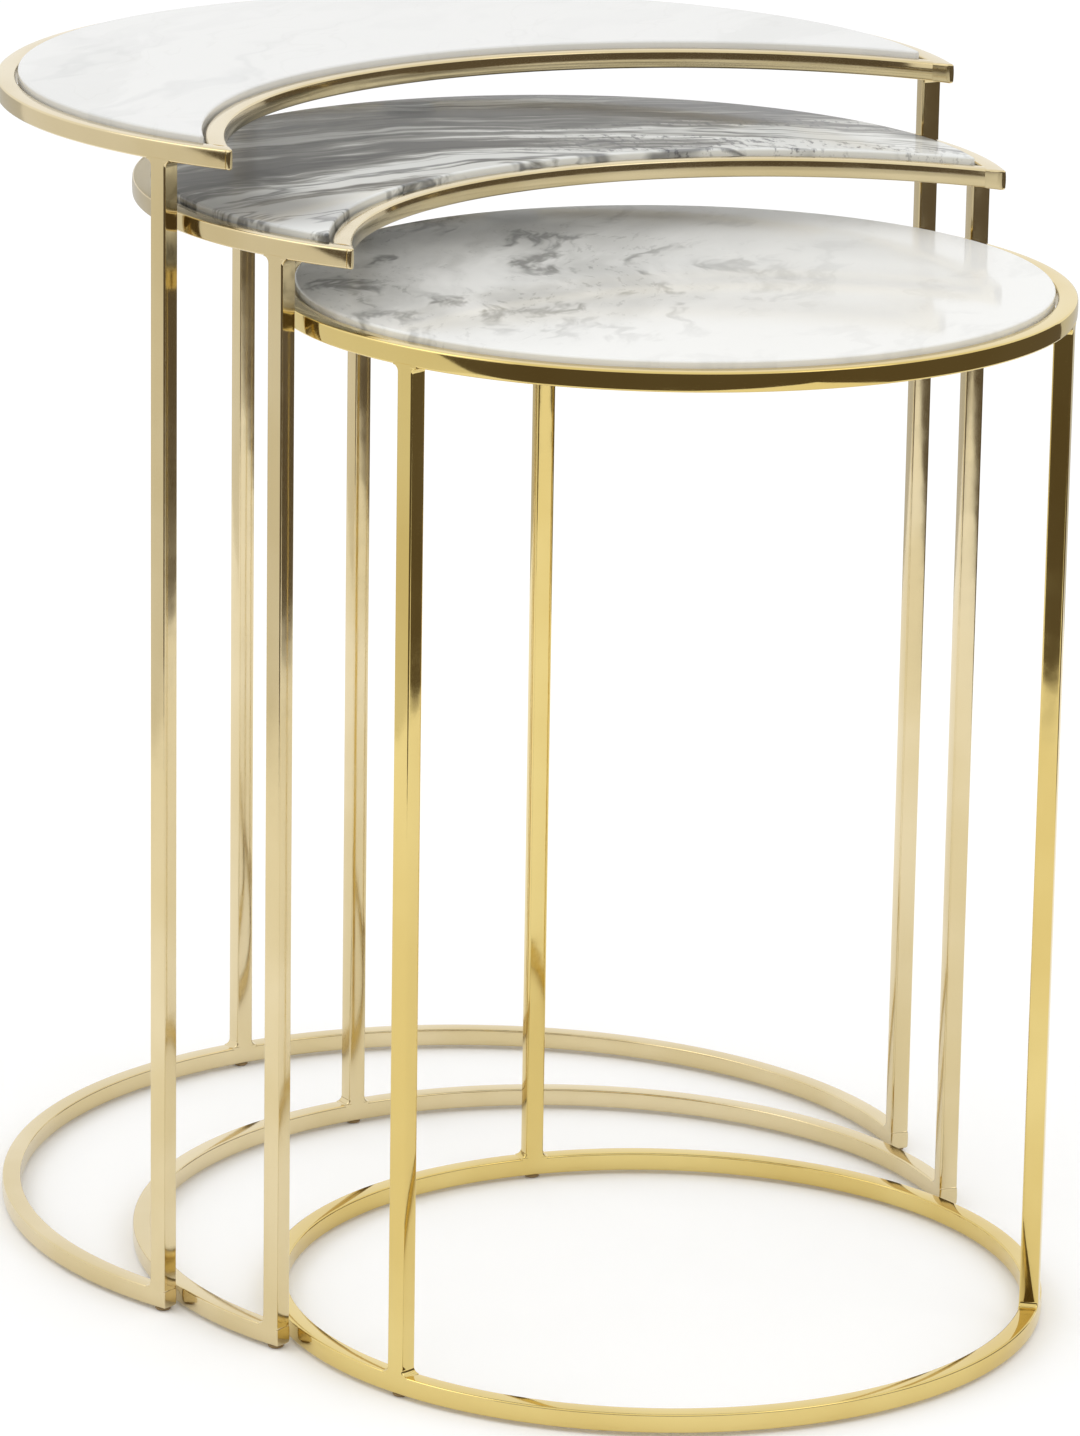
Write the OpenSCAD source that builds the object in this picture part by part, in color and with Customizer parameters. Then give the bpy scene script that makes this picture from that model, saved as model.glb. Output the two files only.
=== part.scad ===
// A nest of three side tables, drawn as they stand part way out of one another.
// Each table is a welded frame of square bar with a stone slab lying in its rim.
// The large and medium tops are crescents, so a lower round top shows in their bays.
// Millimetres, +Z up, the tables slide out along -Y, origin at the middle of the floor.

/* [Table sizes] */
// Outer diameter of the large frame
large_d = 495; // [492:1:505]
// Outer diameter of the medium frame
medium_d = 440; // [438:1:444]
// Outer diameter of the small frame
small_d = 394; // [388:1:394]
// Height of the large rim's top edge
large_h = 599; // [590:1:620]
// Height of the medium rim's top edge
medium_h = 562.5; // [555:0.5:568]
// Height of the small rim's top edge
small_h = 525; // [515:1:530]

/* [Bays] */
// Radius of the large crescent's concave edge
large_bay_r = 243; // [240:1:246]
// Distance from the large centre to its bay's centre
large_bay_y = 200; // [196:1:204]
// Radius of the medium crescent's concave edge
medium_bay_r = 220; // [218:1:224]
// Distance from the medium centre to its bay's centre
medium_bay_y = 202; // [199:1:205]
// Width of the blunt end left at a crescent's tip
tip_w = 3; // [2:0.5:5]

/* [Nest] */
// Distance from the large centre to the medium centre
large_to_medium = 89; // [80:1:100]
// Distance from the medium centre to the small centre
medium_to_small = 96.5; // [90:0.5:105]
// Turn of the large legs and floor arc about their centre
large_turn = 3.5; // [0:0.5:3.5]
// Turn of the medium legs and floor arc about their centre
medium_turn = 2; // [0:0.5:2]
// Turn of the large crescent, rim and slab, which sits a little round from its legs
large_top_turn = 5.5; // [3.5:0.5:6]
// Turn of the medium crescent, rim and slab
medium_top_turn = 3.5; // [2:0.5:4]
// Turn of the small table about its own centre
small_turn = -12; // [-20:1:20]
// Angle from a crescent's axis to each of its end legs
end_leg_angle = 106.5; // [104:0.5:106.5]
// Angle by which a crescent's back leg stands off its axis
back_leg_offset = -2; // [-3:0.5:3]

/* [Square bar] */
// Side of the square bar that every frame is made of
bar = 10; // [10:0.5:11]

/* [Stone] */
// Thickness of a slab
slab_t = 10; // [9:0.5:12]
// Height that a slab stands above its rim
slab_proud = 3; // [2:0.5:4]
// Gap between a slab's edge and its rim
slab_gap = 1.2; // [0.8:0.1:2]
// Size of the chamfer round a slab's upper edge
slab_chamfer = 1; // [0.5:0.1:1.5]

/* [Supports and feet] */
// Diameter of a floor glide
glide_d = 8; // [7:0.5:9]
// Height of a floor glide
glide_h = 2; // [1.5:0.5:3]
// Diameter of the glide's peg
peg_d = 3; // [2.5:0.1:4]
// Length of the glide's peg
peg_l = 5; // [4:0.5:7]
// Width of a support tab, along the rim
tab_w = 26; // [20:1:30]
// Reach of a support tab, in from the rim
tab_reach = 18; // [14:1:22]
// Diameter of the soft pad on each tab
pad_d = 10; // [8:1:12]
// Thickness of the soft pad
pad_t = 1; // [0.5:0.1:1.5]

/* [Hidden] */
$fn = 96;

large_r = large_d / 2;
medium_r = medium_d / 2;
small_r = small_d / 2;
// The three centres lie on the Y axis, and the whole nest is centred over the origin.
nest_depth = large_r + large_to_medium + medium_to_small + small_r;
large_y = nest_depth / 2 - large_r;
medium_y = large_y - large_to_medium;
small_y = medium_y - medium_to_small;

back = 90;
small_leg_angle = 120;
// A leg's flat face sits this far inside the rim's curve, so its corners stay on it.
leg_inset = 0.1;
// Half the angle that a leg covers, seen from its table's centre
function half_leg(r) = atan(bar / 2 / (r - bar));
peg_clearance = 0.05;
tab_t = bar - slab_t + slab_proud - pad_t;
spill = 1;

// Angle, from the back, at which the bay cuts a circle of radius r about the centre
function bay_angle(r, bay_r, bay_y) = acos((bay_r * bay_r - r * r - bay_y * bay_y) / (2 * r * bay_y));
// The rim stops short of the bay's sharp corner, which leaves an end tip_w wide.
function tip_angle(r, bay_r, bay_y) = bay_angle(r - tip_w, bay_r, bay_y);

module square_ring(r, z, from, span) {
    translate([0, 0, z])
        rotate([0, 0, from])
            rotate_extrude(angle = span)
                translate([r - bar, 0])
                    square(bar);
}

module round_bay(bay_r, bay_y, z, h) {
    translate([0, -bay_y, z])
        cylinder(h = h, r = bay_r);
}

module crescent_outer_rim(r, h, bay_r, bay_y) {
    tip = tip_angle(r, bay_r, bay_y);
    difference() {
        square_ring(r, h - bar, back - tip, 2 * tip);
        round_bay(bay_r, bay_y, h - bar - spill, bar + 2 * spill);
    }
}

module crescent_inner_rim(r, h, bay_r, bay_y) {
    intersection() {
        translate([0, -bay_y, 0])
            square_ring(bay_r + bar, h - bar, 0, 180);
        translate([0, 0, h - bar - spill])
            cylinder(h = bar + 2 * spill, r = r - bar);
    }
}

module leg(r, h, angle) {
    rotate([0, 0, angle])
        translate([r - bar - leg_inset, -bar / 2, glide_h + bar])
            cube([bar, bar, h - 2 * bar - glide_h]);
}

module peg_hole(r, angle) {
    rotate([0, 0, angle])
        translate([r - bar / 2, 0, glide_h - spill])
            cylinder(h = peg_l + 2 * spill, d = peg_d + 2 * peg_clearance);
}

module base_bar(r, from, span, leg_angles) {
    difference() {
        square_ring(r, glide_h, from, span);
        for (angle = leg_angles)
            peg_hole(r, angle);
    }
}

module crescent_base_arc(r) {
    end = end_leg_angle + half_leg(r);
    base_bar(r, back - end, 2 * end, crescent_legs());
}

module floor_glide(r, angle) {
    rotate([0, 0, angle])
        translate([r - bar / 2, 0, 0]) {
            cylinder(h = glide_h, d = glide_d);
            cylinder(h = glide_h + peg_l, d = peg_d);
        }
}

// A slab's edge profile: straight below, chamfered at the top, out to radius r
module slab_profile(r) {
    polygon([
        [0, 0], [r, 0], [r, slab_t - slab_chamfer],
        [r - slab_chamfer, slab_t], [0, slab_t]
    ]);
}

// The cutter for a bay: its wall leans back at the top, which chamfers the concave edge
module bay_profile(r) {
    polygon([
        [0, -spill], [r, -spill], [r, slab_t - slab_chamfer],
        [r + slab_chamfer + spill, slab_t + spill], [0, slab_t + spill]
    ]);
}

module round_slab(r, h) {
    translate([0, 0, h + slab_proud - slab_t])
        rotate_extrude()
            slab_profile(r - bar - slab_gap);
}

module crescent_slab(r, h, bay_r, bay_y) {
    wall_r = bay_r + bar + slab_gap;
    stone_r = r - bar - slab_gap;
    tip_y = stone_r * cos(bay_angle(stone_r - tip_w, wall_r, bay_y));
    translate([0, 0, h + slab_proud - slab_t])
        intersection() {
            difference() {
                rotate_extrude()
                    slab_profile(stone_r);
                translate([0, -bay_y, 0])
                    rotate_extrude()
                        bay_profile(wall_r);
            }
            translate([-r, tip_y, -spill])
                cube([2 * r, 2 * r, slab_t + 2 * spill]);
        }
}

// A tab welded to the inner face of a rim, reaching in towards the table's centre
module tab_in(r, h, angle) {
    translate([0, 0, h - bar])
        intersection() {
            rotate([0, 0, angle])
                translate([r - bar - tab_reach, -tab_w / 2, 0])
                    cube([tab_reach + bar, tab_w, tab_t]);
            cylinder(h = tab_t, r = r - bar);
        }
}

// A tab welded to the back of a concave rim, reaching away from the bay
module tab_out(bay_r, bay_y, h, angle) {
    translate([0, -bay_y, h - bar])
        difference() {
            rotate([0, 0, angle])
                translate([bay_r, -tab_w / 2, 0])
                    cube([bar + tab_reach, tab_w, tab_t]);
            translate([0, 0, -spill])
                cylinder(h = tab_t + 2 * spill, r = bay_r + bar);
        }
}

module pad(r, h, angle) {
    rotate([0, 0, angle])
        translate([r, 0, h - bar + tab_t])
            cylinder(h = pad_t, d = pad_d);
}

function crescent_legs() = [back - end_leg_angle, back + back_leg_offset, back + end_leg_angle];
function small_legs() = [for (i = [-1:1]) back + i * small_leg_angle];
// Tabs on the outer rim, as angles about the table's centre
crescent_tabs = [back - 78, back - 26, back + 26, back + 78];
// Tabs on the concave rim, as angles about the bay's centre
bay_tabs = [back - 22, back + 22];
round_tabs = [for (i = [0:3]) 45 + i * 90];

module crescent_tabs(r, h, bay_r, bay_y) {
    for (angle = crescent_tabs)
        tab_in(r, h, angle);
    for (angle = bay_tabs)
        tab_out(bay_r, bay_y, h, angle);
}

module crescent_pads(r, h, bay_r, bay_y) {
    for (angle = crescent_tabs)
        pad(r - bar - tab_reach / 2, h, angle);
    translate([0, -bay_y, 0])
        for (angle = bay_tabs)
            pad(bay_r + bar + tab_reach / 2, h, angle);
}

module crescent_glides(r) {
    for (angle = crescent_legs())
        floor_glide(r, angle);
}

// Places what is drawn about the origin at its table's centre and turn
module at_large() {
    translate([0, large_y, 0])
        rotate([0, 0, large_turn])
            children();
}
module at_large_top() {
    translate([0, large_y, 0])
        rotate([0, 0, large_top_turn])
            children();
}
module at_medium() {
    translate([0, medium_y, 0])
        rotate([0, 0, medium_turn])
            children();
}
module at_medium_top() {
    translate([0, medium_y, 0])
        rotate([0, 0, medium_top_turn])
            children();
}
module at_small() {
    translate([0, small_y, 0])
        rotate([0, 0, small_turn])
            children();
}

// Large table
module large_marble_top() {
    color("whitesmoke") at_large_top()
        crescent_slab(large_r, large_h, large_bay_r, large_bay_y);
}
module large_outer_rim() {
    color("khaki") at_large_top()
        crescent_outer_rim(large_r, large_h, large_bay_r, large_bay_y);
}
module large_inner_rim() {
    color("khaki") at_large_top()
        crescent_inner_rim(large_r, large_h, large_bay_r, large_bay_y);
}
module large_base_arc() {
    color("khaki") at_large()
        crescent_base_arc(large_r);
}
module large_leg(angle) {
    color("khaki") at_large()
        leg(large_r, large_h, angle);
}
module large_left_leg() {
    large_leg(back + end_leg_angle);
}
module large_right_leg() {
    large_leg(back - end_leg_angle);
}
module large_back_leg() {
    large_leg(back + back_leg_offset);
}
module large_support_tabs() {
    color("silver") at_large_top()
        crescent_tabs(large_r, large_h, large_bay_r, large_bay_y);
}
module large_slab_pads() {
    color("gainsboro") at_large_top()
        crescent_pads(large_r, large_h, large_bay_r, large_bay_y);
}
module large_floor_glides() {
    color("tan") at_large()
        crescent_glides(large_r);
}

// Medium table
module medium_marble_top() {
    color("darkgray") at_medium_top()
        crescent_slab(medium_r, medium_h, medium_bay_r, medium_bay_y);
}
module medium_outer_rim() {
    color("khaki") at_medium_top()
        crescent_outer_rim(medium_r, medium_h, medium_bay_r, medium_bay_y);
}
module medium_inner_rim() {
    color("khaki") at_medium_top()
        crescent_inner_rim(medium_r, medium_h, medium_bay_r, medium_bay_y);
}
module medium_base_arc() {
    color("khaki") at_medium()
        crescent_base_arc(medium_r);
}
module medium_leg(angle) {
    color("khaki") at_medium()
        leg(medium_r, medium_h, angle);
}
module medium_left_leg() {
    medium_leg(back + end_leg_angle);
}
module medium_right_leg() {
    medium_leg(back - end_leg_angle);
}
module medium_back_leg() {
    medium_leg(back + back_leg_offset);
}
module medium_support_tabs() {
    color("silver") at_medium_top()
        crescent_tabs(medium_r, medium_h, medium_bay_r, medium_bay_y);
}
module medium_slab_pads() {
    color("gainsboro") at_medium_top()
        crescent_pads(medium_r, medium_h, medium_bay_r, medium_bay_y);
}
module medium_floor_glides() {
    color("tan") at_medium()
        crescent_glides(medium_r);
}

// Small table
module small_marble_top() {
    color("white") at_small()
        round_slab(small_r, small_h);
}
module small_rim() {
    color("goldenrod") at_small()
        square_ring(small_r, small_h - bar, 0, 360);
}
module small_base_ring() {
    color("goldenrod") at_small()
        base_bar(small_r, 0, 360, small_legs());
}
module small_leg(index) {
    color("goldenrod") at_small()
        leg(small_r, small_h, small_legs()[index]);
}
module small_left_leg() {
    small_leg(2);
}
module small_right_leg() {
    small_leg(0);
}
module small_back_leg() {
    small_leg(1);
}
module small_support_tabs() {
    color("silver") at_small()
        for (angle = round_tabs)
            tab_in(small_r, small_h, angle);
}
module small_slab_pads() {
    color("gainsboro") at_small()
        for (angle = round_tabs)
            pad(small_r - bar - tab_reach / 2, small_h, angle);
}
module small_floor_glides() {
    color("tan") at_small()
        for (angle = small_legs())
            floor_glide(small_r, angle);
}

large_marble_top();
large_outer_rim();
large_inner_rim();
large_base_arc();
large_left_leg();
large_right_leg();
large_back_leg();
large_support_tabs();
large_slab_pads();
large_floor_glides();
medium_marble_top();
medium_outer_rim();
medium_inner_rim();
medium_base_arc();
medium_left_leg();
medium_right_leg();
medium_back_leg();
medium_support_tabs();
medium_slab_pads();
medium_floor_glides();
small_marble_top();
small_rim();
small_base_ring();
small_left_leg();
small_right_leg();
small_back_leg();
small_support_tabs();
small_slab_pads();
small_floor_glides();
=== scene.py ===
"""Looks for a nest of three side tables: two crescent tops and one round top in square-bar frames.

Every piece is built as a fine mesh in the place of its CAD node, in metres, in the CAD frame.
"""
import math

import bmesh
import bpy
from mathutils import Matrix, Vector


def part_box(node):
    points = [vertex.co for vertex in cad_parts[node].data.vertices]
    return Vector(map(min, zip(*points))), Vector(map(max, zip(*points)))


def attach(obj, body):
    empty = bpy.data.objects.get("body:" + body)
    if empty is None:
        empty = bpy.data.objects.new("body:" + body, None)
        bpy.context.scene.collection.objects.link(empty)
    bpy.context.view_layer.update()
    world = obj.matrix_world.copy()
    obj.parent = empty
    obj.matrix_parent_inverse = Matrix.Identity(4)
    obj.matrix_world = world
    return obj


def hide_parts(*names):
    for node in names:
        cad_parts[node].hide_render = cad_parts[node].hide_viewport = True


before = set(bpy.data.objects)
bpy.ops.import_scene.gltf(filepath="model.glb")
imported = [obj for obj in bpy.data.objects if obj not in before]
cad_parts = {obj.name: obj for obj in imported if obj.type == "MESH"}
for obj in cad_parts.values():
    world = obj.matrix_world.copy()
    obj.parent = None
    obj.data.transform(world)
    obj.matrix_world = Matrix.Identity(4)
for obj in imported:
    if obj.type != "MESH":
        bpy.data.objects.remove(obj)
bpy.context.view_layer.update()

MM = 0.001

# The square bar, how far a leg's outer face lies inside the rim's, the width left at a crescent's
# tips, and the angle from the back at which the end legs stand
BAR = 10 * MM
LEG_INSET = 0.1 * MM
TIP_WIDTH = 3 * MM
END_LEG_ANGLE = math.radians(106.5)
BACK = math.pi / 2

# Edge radii. A side of a section is at least SIDE_PER_EDGE radii wide.
BAR_EDGE = 0.9 * MM
STONE_EDGE = 1.3 * MM
STONE_FOOT = 0.4 * MM
PLATE_EDGE = 0.35 * MM
SMALLEST_EDGE = 0.05 * MM
SIDE_PER_EDGE = 2.01

# How far the middle of a bar's face stands proud of its edges, and the same on the concave rims
CROWN = 0.28 * MM
BAY_CROWN = 0.5 * MM

# How finely edges, faces, arcs, legs and slabs are divided
EDGE_STEPS = 4
FACE_STEPS = 4
CORNER_STEPS = 8
ARC_STEP = math.radians(1.0)
TIP_STEP = ARC_STEP / 3
LEG_STEP = 40 * MM
SLAB_SPOKES = (0.1, 0.3, 0.5, 0.7, 0.9)
SLAB_TURN_STEPS = 256
SLAB_ALONG_STEPS = 200
SLAB_ACROSS_STEPS = 10
PAD_TURN_STEPS = 32
GLIDE_TURN_STEPS = 40

# Shading: edges sharper than this stay sharp, and large faces weigh this much in the normals
SHARP = math.radians(40)
FACE_WEIGHT = 80

# A weld's fillet, how far a welded piece runs into the bar it meets, and over what length a leg's
# outer face bends to the bar's curve
WELD = 3.2 * MM
WELD_STEPS = 8
WELD_ROOT = 1.2 * MM
BLEND = 12 * MM

# The groove left beside each blunt tip, with its two edges and its floor as parts of its width
GROOVE_FROM_END = 2.0 * MM
GROOVE_WIDTH = 0.7 * MM
GROOVE_DEPTH = 0.4 * MM
GROOVE_PARTS = (0.0, 0.3, 0.7, 1.0)

# Stone, and the fittings under it. The tabs stand at these angles from the back.
STONE_GAP = 1.2 * MM
TAB_WIDTH = 26 * MM
TAB_REACH = 18 * MM
TAB_CORNER = 4 * MM
OUTER_TABS = [math.radians(a) for a in (-78, -26, 26, 78)]
BAY_TABS = [math.radians(a) for a in (-22, 22)]
ROUND_TABS = [math.radians(45 + 90 * i) for i in range(4)]
PAD_RADIUS = 5 * MM
PAD_EDGE_PER_HEIGHT = 0.45

# A floor glide: its domed foot as (radius, height above the floor), its neck under the bar, where
# it meets the bar, and its peg
GLIDE_FOOT = ((0.0, 0.0), (2.2 * MM, 0.0), (3.1 * MM, 0.12 * MM), (3.7 * MM, 0.45 * MM),
              (3.98 * MM, 0.95 * MM), (4.0 * MM, 1.3 * MM), (3.85 * MM, 1.62 * MM))
GLIDE_NECK_RADIUS = 3.5 * MM
GLIDE_NECK_HEIGHT = 0.1 * MM
GLIDE_TOP_RADIUS = 3.3 * MM
PEG_RADIUS = 1.5 * MM
PEG_TAPER = 0.4 * MM
PEG_TIP_PART = 0.75

# The tops' bays and turns: radius of the bay, how far its centre is off the table's, and the turn
LARGE_TOP = (243 * MM, 200 * MM, math.radians(5.5))
MEDIUM_TOP = (220 * MM, 202 * MM, math.radians(3.5))


# ---------------------------------------------------------------- tables

class Table:
    """Where one table stands, taken from the boxes of its CAD nodes."""

    def __init__(self, name, rim, base, top=None):
        self.name = name
        self.body = name + "_table"
        low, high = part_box(rim)
        self.radius = (high.x - low.x) / 2
        self.centre = Vector(((low.x + high.x) / 2, high.y - self.radius))
        self.rim_low, self.rim_top = low.z, high.z
        low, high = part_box(base)
        self.base_low, self.base_top = low.z, high.z
        low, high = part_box(name + "_marble_top")
        self.stone_low, self.stone_top = low.z, high.z
        self.tab_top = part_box(name + "_support_tabs")[1].z
        self.peg_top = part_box(name + "_floor_glides")[1].z
        self.legs = {side: self.leg_angle(side) for side in ("right", "back", "left")}
        if top is None:
            self.turn = self.legs["back"] - BACK
            self.bay_radius, self.bay_offset, self.top_turn = 0.0, 0.0, self.turn
        else:
            right, left = self.legs["right"], self.legs["left"]
            if right > math.pi:
                right -= 2 * math.pi
            self.turn = (right + left) / 2 - BACK
            self.bay_radius, self.bay_offset, self.top_turn = top

    def leg_angle(self, side):
        """Angle of a leg about the table's centre, in the CAD frame."""
        low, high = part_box(f"{self.name}_{side}_leg")
        middle = (low + high) / 2
        angle = math.atan2(middle.y - self.centre.y, middle.x - self.centre.x)
        return angle % (2 * math.pi)

    def place(self, x, y, z, turn=None):
        """A point drawn about the table's centre, turned and moved to where the table stands.

        Legs and floor bars take the table's turn; the top is given its own.
        """
        turn = self.turn if turn is None else turn
        c, s = math.cos(turn), math.sin(turn)
        return (self.centre.x + c * x - s * y, self.centre.y + s * x + c * y, z)

    def polar(self, radius, angle, z):
        """A point at an angle from the back of the table, turned with it."""
        return self.place(-radius * math.sin(angle), radius * math.cos(angle), z)

    def top_polar(self, radius, angle, z):
        """A point at an angle from the back of the top."""
        x, y = -radius * math.sin(angle), radius * math.cos(angle)
        return self.place(x, y, z, self.top_turn)

    def bay_polar(self, radius, angle, z):
        """A point at an angle from the back, about the centre of the top's bay."""
        x, y = -radius * math.sin(angle), radius * math.cos(angle) - self.bay_offset
        return self.place(x, y, z, self.top_turn)

    def bay_wall(self, angle, bay_radius):
        """Distance from the table's centre to the bay's wall in that direction."""
        b = self.bay_offset
        across = bay_radius ** 2 - (b * math.sin(angle)) ** 2
        return -b * math.cos(angle) + math.sqrt(max(across, 0.0))

    def bay_angle(self, radius, bay_radius):
        """Angle from the back at which the bay's wall crosses a circle about the table's centre."""
        b = self.bay_offset
        return math.acos((bay_radius ** 2 - radius ** 2 - b ** 2) / (2 * radius * b))

    def end_in_bay(self, radius, reach):
        """Angle about the bay's centre at which a circle there is reach from the table's centre."""
        b = self.bay_offset
        return math.acos((radius ** 2 + b ** 2 - reach ** 2) / (2 * radius * b))


LARGE = Table("large", "large_outer_rim", "large_base_arc", LARGE_TOP)
MEDIUM = Table("medium", "medium_outer_rim", "medium_base_arc", MEDIUM_TOP)
SMALL = Table("small", "small_rim", "small_base_ring")


# ---------------------------------------------------------------- mesh building

def steps_between(start, end, step):
    """Evenly spaced values from start to end, both included, no further apart than step."""
    count = max(1, math.ceil(abs(end - start) / step))
    return [start + (end - start) * i / count for i in range(count + 1)]


def between(start, corner, radius, quarter):
    """Points inside the flat face from start to where the next rounded corner begins."""
    a = quarter * math.pi / 2
    end = (corner[0] + radius * math.cos(a), corner[1] + radius * math.sin(a))
    points = []
    for i in range(1, FACE_STEPS):
        t = i / FACE_STEPS
        points.append((start[0] + (end[0] - start[0]) * t, start[1] + (end[1] - start[1]) * t))
    return points


def rounded_section(u0, u1, w0, w1, radius, crown=CROWN):
    """A bar's section, anticlockwise, as (u, w) pairs: rounded corners and slightly crowned faces."""
    radius = max(min(radius, (u1 - u0) / SIDE_PER_EDGE, (w1 - w0) / SIDE_PER_EDGE),
                 SMALLEST_EDGE)
    corners = ((u1 - radius, w1 - radius, 0), (u0 + radius, w1 - radius, 1),
               (u0 + radius, w0 + radius, 2), (u1 - radius, w0 + radius, 3))
    outline = []
    for u, w, quarter in corners:
        if outline:
            outline += between(outline[-1], (u, w), radius, quarter)
        for i in range(EDGE_STEPS + 1):
            a = (quarter + i / EDGE_STEPS) * math.pi / 2
            outline.append((u + radius * math.cos(a), w + radius * math.sin(a)))
    outline += between(outline[-1], corners[0][:2], radius, 4)
    half_u, half_w = (u1 - u0) / 2, (w1 - w0) / 2
    middle_u, middle_w = (u0 + u1) / 2, (w0 + w1) / 2
    points = []
    for u, w in outline:
        du, dw = u - middle_u, w - middle_w
        points.append((u - du / half_u * crown * (dw / half_w) ** 2,
                       w - dw / half_w * crown * (du / half_u) ** 2))
    return points


def edge_rounding(radius):
    """(distance in from the end, inset of the section) rows that round an end, end first."""
    rows = []
    for i in range(EDGE_STEPS + 1):
        a = i / EDGE_STEPS * math.pi / 2
        rows.append((radius * (1 - math.sin(a)), radius * (1 - math.cos(a))))
    return list(reversed(rows))


def eased_levels(low, top, low_edge, top_edge):
    """(inset, z) levels of a flat piece whose lower and upper edges are rounded."""
    levels = [(inset, low + up) for up, inset in edge_rounding(low_edge)]
    levels += [(inset, top - down) for down, inset in reversed(edge_rounding(top_edge))]
    return levels


def loft(rings, closed=False, caps=True):
    """Vertices and faces that join successive rings of points."""
    count = len(rings[0])
    verts = [p for ring in rings for p in ring]
    faces = []
    for i in range(len(rings) if closed else len(rings) - 1):
        a = i * count
        b = (i + 1) % len(rings) * count
        for j in range(count):
            k = (j + 1) % count
            faces.append((a + j, a + k, b + k, b + j))
    if caps and not closed:
        faces.append(tuple(range(count)))
        faces.append(tuple(range(len(verts) - count, len(verts))))
    return verts, faces


def lathe(profile, centre, steps):
    """A solid of revolution. The profile's first and last points lie on the axis."""
    rings = []
    for radius, z in profile[1:-1]:
        ring = []
        for i in range(steps):
            a = 2 * math.pi * i / steps
            ring.append((centre[0] + radius * math.cos(a), centre[1] + radius * math.sin(a), z))
        rings.append(ring)
    verts, faces = loft(rings, caps=False)
    for (_, z), first in ((profile[0], 0), (profile[-1], len(verts) - steps)):
        pole = len(verts)
        verts.append((centre[0], centre[1], z))
        faces += [(pole, first + i, first + (i + 1) % steps) for i in range(steps)]
    return verts, faces


def merged(parts):
    """Several (verts, faces) shells as one."""
    verts, faces = [], []
    for part_verts, part_faces in parts:
        offset = len(verts)
        verts += part_verts
        faces += [tuple(i + offset for i in face) for face in part_faces]
    return verts, faces


def add_piece(node, geometry, material, slot, body):
    """One visible piece, which rides on its body and stands for its CAD node."""
    verts, faces = geometry
    mesh = bpy.data.meshes.new(node + "_piece")
    mesh.from_pydata([tuple(v) for v in verts], [], faces)
    bm = bmesh.new()
    bm.from_mesh(mesh)
    bmesh.ops.recalc_face_normals(bm, faces=bm.faces)
    for edge in bm.edges:
        edge.smooth = edge.calc_face_angle(0.0) < SHARP
    for face in bm.faces:
        face.smooth = True
    bm.to_mesh(mesh)
    bm.free()
    mesh.materials.append(material)
    piece = bpy.data.objects.new(node + "_piece", mesh)
    bpy.context.scene.collection.objects.link(piece)
    normals = piece.modifiers.new("even_normals", "WEIGHTED_NORMAL")
    normals.mode = "FACE_AREA"
    normals.weight = FACE_WEIGHT
    normals.keep_sharp = True
    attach(piece, body)
    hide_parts(node)


# ---------------------------------------------------------------- metal bars

def bar_ring(table, low, top):
    """A closed ring of bar."""
    section = rounded_section(table.radius - BAR, table.radius, low, top, BAR_EDGE)
    count = round(2 * math.pi / ARC_STEP)
    rings = []
    for i in range(count):
        angle = 2 * math.pi * i / count
        rings.append([table.polar(u, angle, w) for u, w in section])
    return loft(rings, closed=True)


def end_stations(half_angle, radius):
    """(angle, inset) stations for an arc of bar whose two ends are rounded."""
    ends = [(half_angle - along / radius, inset) for along, inset in edge_rounding(BAR_EDGE)]
    inner = ends[-1][0]
    middle = [(a, 0.0) for a in steps_between(-inner, inner, ARC_STEP)[1:-1]]
    return [(-a, inset) for a, inset in ends] + middle + list(reversed(ends))


def base_arc(table):
    """The floor arc, which ends flush with the far sides of its end legs."""
    half = END_LEG_ANGLE + math.atan(BAR / 2 / (table.radius - BAR))
    rings = []
    for angle, inset in end_stations(half, table.radius):
        section = rounded_section(table.radius - BAR + inset, table.radius - inset,
                                  table.base_low + inset, table.base_top - inset,
                                  BAR_EDGE - inset)
        rings.append([table.polar(u, angle, w) for u, w in section])
    return loft(rings)


def outer_rim(table):
    """The convex rim. Its ends narrow along the bay's wall to a blunt tip, with a groove."""
    r = table.radius
    tip = table.bay_angle(r - TIP_WIDTH, table.bay_radius)
    kink = table.bay_angle(r - BAR, table.bay_radius)
    groove = [tip - (GROOVE_FROM_END + GROOVE_WIDTH * part) / r for part in GROOVE_PARTS]
    ends = [(tip - along / r, inset) for along, inset in edge_rounding(BAR_EDGE)]
    ends += [(a, 0.0) for a in groove]
    ends += [(a, 0.0) for a in steps_between(groove[-1], kink, TIP_STEP)[1:]]
    middle = [(a, 0.0) for a in steps_between(-kink, kink, ARC_STEP)[1:-1]]
    stations = [(-a, inset) for a, inset in ends] + middle + list(reversed(ends))
    floor_of_groove = groove[1:-1]
    dented = set(floor_of_groove) | {-a for a in floor_of_groove}
    rings = []
    for angle, inset in stations:
        inner = r - BAR
        if abs(angle) > kink:
            inner = max(inner, table.bay_wall(abs(angle), table.bay_radius))
        outer = r - (GROOVE_DEPTH if angle in dented else 0.0)
        section = rounded_section(inner + inset, outer - inset, table.rim_low + inset,
                                  table.rim_top - inset, BAR_EDGE - inset)
        rings.append([table.top_polar(u, angle, w) for u, w in section])
    return loft(rings)


def inner_rim(table):
    """The concave rim, whose ends follow the inside of the outer rim."""
    low, top = table.rim_low, table.rim_top
    section = rounded_section(table.bay_radius, table.bay_radius + BAR, low, top, BAR_EDGE,
                              BAY_CROWN)
    reach = table.radius - BAR + BAR_EDGE
    ends = [table.end_in_bay(u, reach) for u, _ in section]
    rings = []
    for t in steps_between(-1.0, 1.0, ARC_STEP / max(ends)):
        rings.append([table.bay_polar(u, t * end, w) for (u, w), end in zip(section, ends)])
    return loft(rings)


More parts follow.
